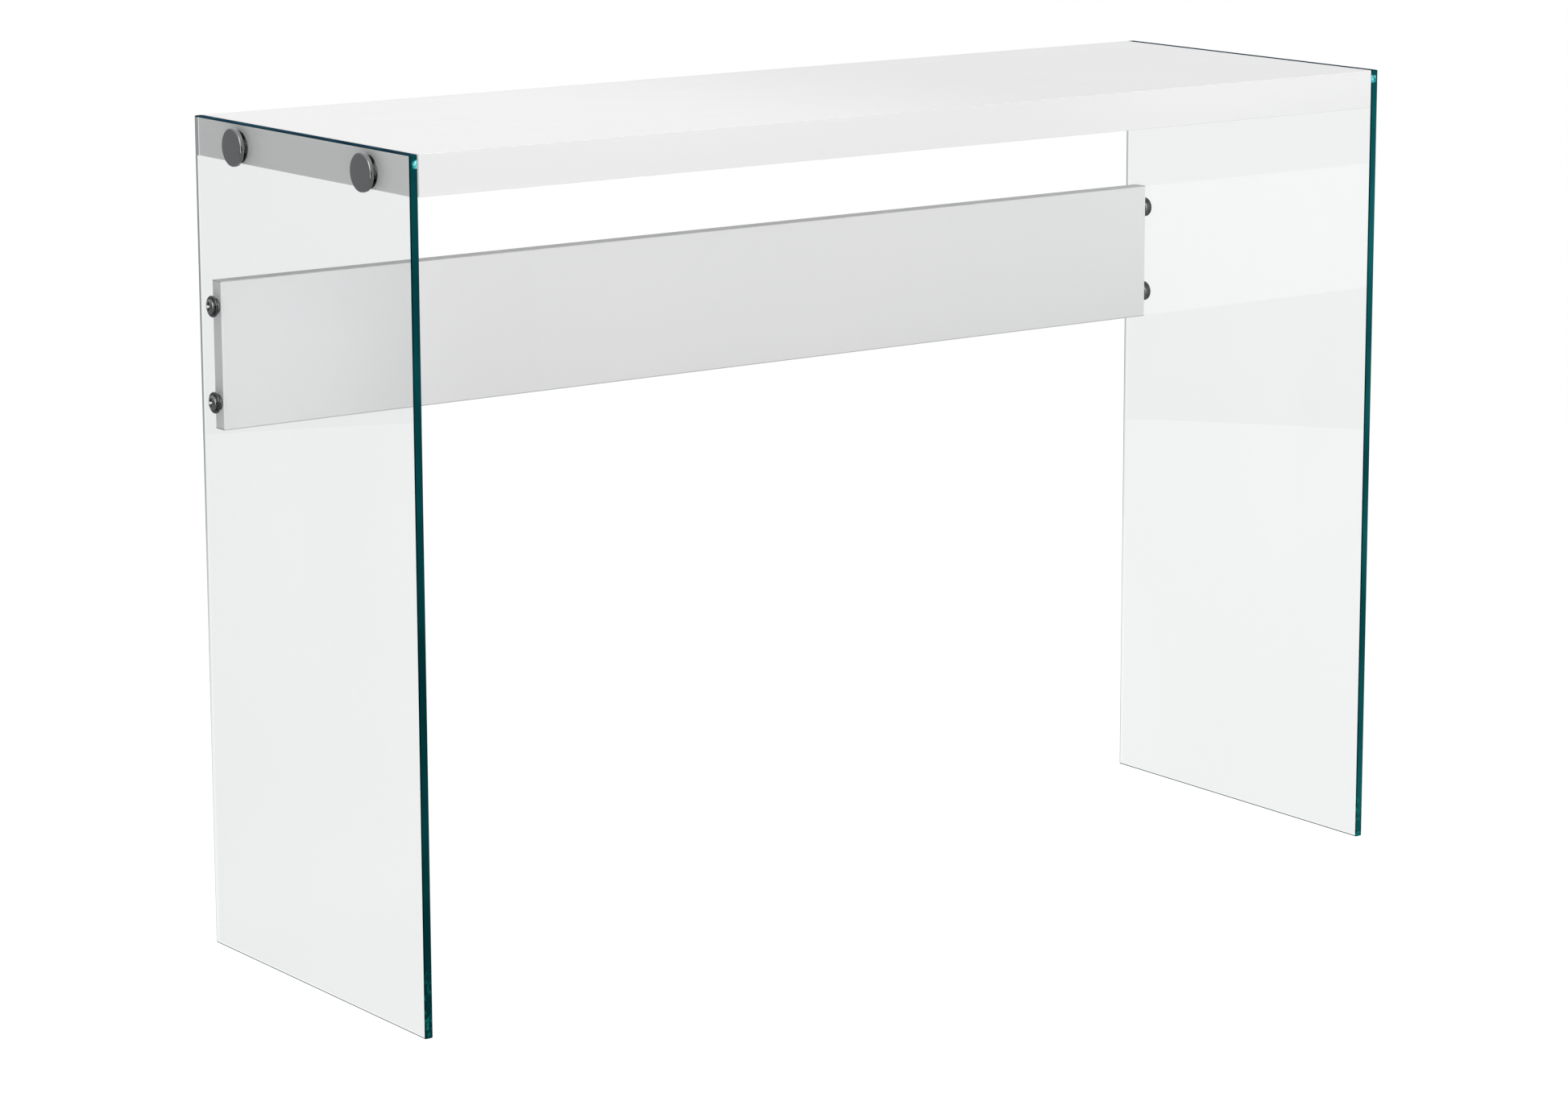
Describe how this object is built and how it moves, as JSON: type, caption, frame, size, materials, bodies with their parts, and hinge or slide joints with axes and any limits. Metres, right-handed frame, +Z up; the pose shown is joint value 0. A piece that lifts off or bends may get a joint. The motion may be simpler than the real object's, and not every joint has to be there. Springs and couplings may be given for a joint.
{
  "type": "console table",
  "caption": "Waterfall-style console table: glossy white slab top and rear stretcher board bolted between clear glass side panels.",
  "frame": {"origin": "on the floor at the middle of the table's footprint", "axes": "+X along the table to its right end, +Y towards the back where the stretcher board is, +Z up"},
  "size_m": [1.128, 0.37, 0.78],
  "materials": {
    "clear_glass": "clear tempered float glass with polished, dark teal-green edges",
    "gloss_white": "high-gloss white foil",
    "softwood": "planed, unfinished",
    "fibreboard": "raw, fine-grained",
    "honeycomb_paper": "brown kraft paper",
    "chrome": "polished dark chrome",
    "clear_plastic": "soft clear plastic",
    "nylon": "natural nylon",
    "zinc": "zinc-plated"
  },
  "bodies": {
    "root": {"glass_panel_left": "clear_glass", "glass_panel_right": "clear_glass", "top_skin": "gloss_white", "bottom_skin": "gloss_white", "front_rail": "softwood", "back_rail": "softwood", "centre_rib": "softwood", "end_block_left": "fibreboard", "end_block_right": "fibreboard", "honeycomb_left": "honeycomb_paper", "honeycomb_right": "honeycomb_paper", "front_edge_band": "gloss_white", "back_edge_band": "gloss_white", "end_band_left": "gloss_white", "end_band_right": "gloss_white", "stretcher_core": "fibreboard", "stretcher_front_laminate": "gloss_white", "stretcher_back_laminate": "gloss_white", "stretcher_top_band": "gloss_white", "stretcher_bottom_band": "gloss_white", "stretcher_end_band_left": "gloss_white", "stretcher_end_band_right": "gloss_white", "cap_bolts_left": "chrome", "cap_bolts_right": "chrome", "cap_washers_left": "clear_plastic", "cap_washers_right": "clear_plastic", "cap_sleeves_left": "nylon", "cap_sleeves_right": "nylon", "top_pads_left": "clear_plastic", "top_pads_right": "clear_plastic", "top_inserts_left": "zinc", "top_inserts_right": "zinc", "stretcher_screws_left": "chrome", "stretcher_screws_right": "chrome", "cup_washers_left": "chrome", "cup_washers_right": "chrome", "screw_sleeves_left": "nylon", "screw_sleeves_right": "nylon", "stretcher_pads_left": "clear_plastic", "stretcher_pads_right": "clear_plastic", "stretcher_inserts_left": "zinc", "stretcher_inserts_right": "zinc"}
  },
  "joints": []
}
